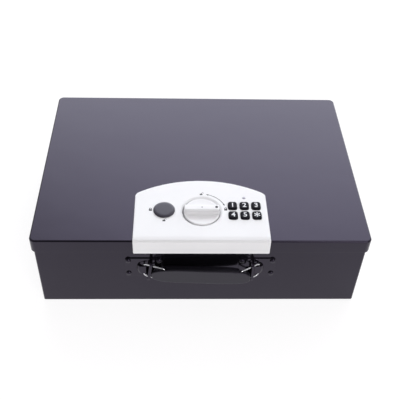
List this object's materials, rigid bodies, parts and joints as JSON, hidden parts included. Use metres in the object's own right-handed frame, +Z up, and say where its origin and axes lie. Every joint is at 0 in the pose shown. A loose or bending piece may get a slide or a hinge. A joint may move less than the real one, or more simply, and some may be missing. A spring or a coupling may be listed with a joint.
{
  "type": "portable safe",
  "caption": "Flat black steel security box with an overlapping hinged lid, a keypad and turn-knob panel on the lid's front and a wire-ring carrying handle.",
  "frame": {"origin": "centre of the bounding box in X and Y, on the plane that the box stands on", "axes": "+X to the right across the front, +Y from the handle side to the hinge side, +Z up; the front with the handle faces -Y"},
  "size_m": [0.38, 0.291, 0.116],
  "materials": {
    "black_paint": "black powder coat with a soft gloss",
    "rivet_black": "black oxide, glossy",
    "zinc_plate": "bright zinc plate",
    "panel_plastic": "silver-white plastic, satin",
    "plug_plastic": "dark grey soft plastic",
    "key_rubber": "black silicone rubber with white numbers",
    "board": "green board",
    "lens": "clear lens",
    "steel": "plain turned steel",
    "copper": "enamelled copper winding",
    "brass": "turned brass",
    "black_plastic": "moulded black plastic, satin",
    "chrome_wire": "bright nickel-chrome plate",
    "cell_wrap": "printed foil sleeve without a design"
  },
  "bodies": {
    "tray": {"body_shell": "black_paint", "body_floor": "black_paint", "strike_bracket": "zinc_plate", "hinge_left_body_leaf": "black_paint", "hinge_left_pin": "zinc_plate", "hinge_right_body_leaf": "black_paint", "hinge_right_pin": "zinc_plate", "handle_bracket_left": "black_paint", "rivet_left_1": "rivet_black", "rivet_left_2": "rivet_black", "rivet_left_3": "rivet_black", "rivet_left_4": "rivet_black", "handle_bracket_right": "black_paint", "rivet_right_1": "rivet_black", "rivet_right_2": "rivet_black", "rivet_right_3": "rivet_black", "rivet_right_4": "rivet_black"},
    "lid": {"lid_shell": "black_paint", "hinge_left_lid_leaf": "black_paint", "hinge_right_lid_leaf": "black_paint", "control_panel": "panel_plastic", "panel_screw_1": "zinc_plate", "panel_screw_2": "zinc_plate", "panel_screw_3": "zinc_plate", "solenoid_frame": "zinc_plate", "solenoid_coil": "copper", "lock_barrel": "steel", "keypad_board": "board", "led_lens": "lens", "mechanism_cover": "black_paint", "cover_screw_1": "zinc_plate", "cover_screw_2": "zinc_plate", "cover_screw_3": "zinc_plate", "cover_screw_4": "zinc_plate", "battery_holder": "black_plastic", "cell_1": "cell_wrap", "cell_2": "cell_wrap", "cell_3": "cell_wrap", "cell_4": "cell_wrap"},
    "turn_knob": {"knob": "panel_plastic", "knob_spindle": "zinc_plate", "crank_cam": "zinc_plate"},
    "bolts": {"bolt_bar": "zinc_plate"},
    "plunger": {"solenoid_plunger": "steel"},
    "override_rotor": {"lock_rotor": "brass"},
    "plug": {"override_plug": "plug_plastic"},
    "battery_cover": {"battery_door": "black_plastic"},
    "grip": {"handle_grip": "black_plastic"},
    "ring_left": {"handle_ring_left": "chrome_wire"},
    "ring_right": {"handle_ring_right": "chrome_wire"},
    "button_1": {"key_1": "key_rubber"},
    "button_2": {"key_2": "key_rubber"},
    "button_3": {"key_3": "key_rubber"},
    "button_4": {"key_4": "key_rubber"},
    "button_5": {"key_5": "key_rubber"},
    "button_star": {"key_star": "key_rubber"}
  },
  "joints": [
    {"name": "lid_hinge", "type": "hinge", "parent": "tray", "child": "lid", "pos_m": [0, 0.14294, 0.086], "axis": [-1, 0, 0], "range_deg": [0, 100]},
    {"name": "knob_turn", "type": "hinge", "parent": "lid", "child": "turn_knob", "pos_m": [0.0007, -0.08496, 0.109], "axis": [0, 0, 1], "range_deg": [0, 90]},
    {"name": "bolt_slide", "type": "slide", "parent": "lid", "child": "bolts", "axis": [0, 1, 0], "range_m": [0, 0.0071]},
    {"name": "plunger_slide", "type": "slide", "parent": "lid", "child": "plunger", "axis": [1, 0, 0], "range_m": [0, 0.0043]},
    {"name": "override_turn", "type": "hinge", "parent": "lid", "child": "override_rotor", "pos_m": [-0.0422, -0.08386, 0.095], "axis": [0, 0, 1], "range_deg": [0, 90]},
    {"name": "plug_lift", "type": "slide", "parent": "lid", "child": "plug", "axis": [0, 0, 1], "range_m": [0, 0.02]},
    {"name": "battery_cover_slide", "type": "slide", "parent": "lid", "child": "battery_cover", "axis": [0, 1, 0], "range_m": [0, 0.034]},
    {"name": "grip_pull", "type": "slide", "parent": "tray", "child": "grip", "axis": [0, -1, 0], "range_m": [0, 0.003]},
    {"name": "ring_left_turn", "type": "hinge", "parent": "tray", "child": "ring_left", "pos_m": [-0.06472, -0.13936, 0.0593], "axis": [0, 0, -1], "range_deg": [0, 7.26]},
    {"name": "ring_right_turn", "type": "hinge", "parent": "tray", "child": "ring_right", "pos_m": [0.06614, -0.14366, 0.0603], "axis": [0, 0, 1], "range_deg": [0, 8.06]},
    {"name": "key_1_press", "type": "slide", "parent": "lid", "child": "button_1", "axis": [0, 0, -1], "range_m": [0, 0.0012], "stiffness_N_per_m": 600, "springref_m": -0.0006},
    {"name": "key_2_press", "type": "slide", "parent": "lid", "child": "button_2", "axis": [0, 0, -1], "range_m": [0, 0.0012], "stiffness_N_per_m": 600, "springref_m": -0.0006},
    {"name": "key_3_press", "type": "slide", "parent": "lid", "child": "button_3", "axis": [0, 0, -1], "range_m": [0, 0.0012], "stiffness_N_per_m": 600, "springref_m": -0.0006},
    {"name": "key_4_press", "type": "slide", "parent": "lid", "child": "button_4", "axis": [0, 0, -1], "range_m": [0, 0.0012], "stiffness_N_per_m": 600, "springref_m": -0.0006},
    {"name": "key_5_press", "type": "slide", "parent": "lid", "child": "button_5", "axis": [0, 0, -1], "range_m": [0, 0.0012], "stiffness_N_per_m": 600, "springref_m": -0.0006},
    {"name": "key_star_press", "type": "slide", "parent": "lid", "child": "button_star", "axis": [0, 0, -1], "range_m": [0, 0.0012], "stiffness_N_per_m": 600, "springref_m": -0.0006}
  ],
  "couplings": [
    {"joint": "bolt_slide", "follows": "knob_turn", "m_per_rad": 0.0045009},
    {"joint": "plunger_slide", "follows": "knob_turn", "m_per_rad": 0.0027005},
    {"joint": "ring_left_turn", "follows": "grip_pull", "rad_per_m": 41.932},
    {"joint": "ring_right_turn", "follows": "grip_pull", "rad_per_m": 46.572}
  ]
}
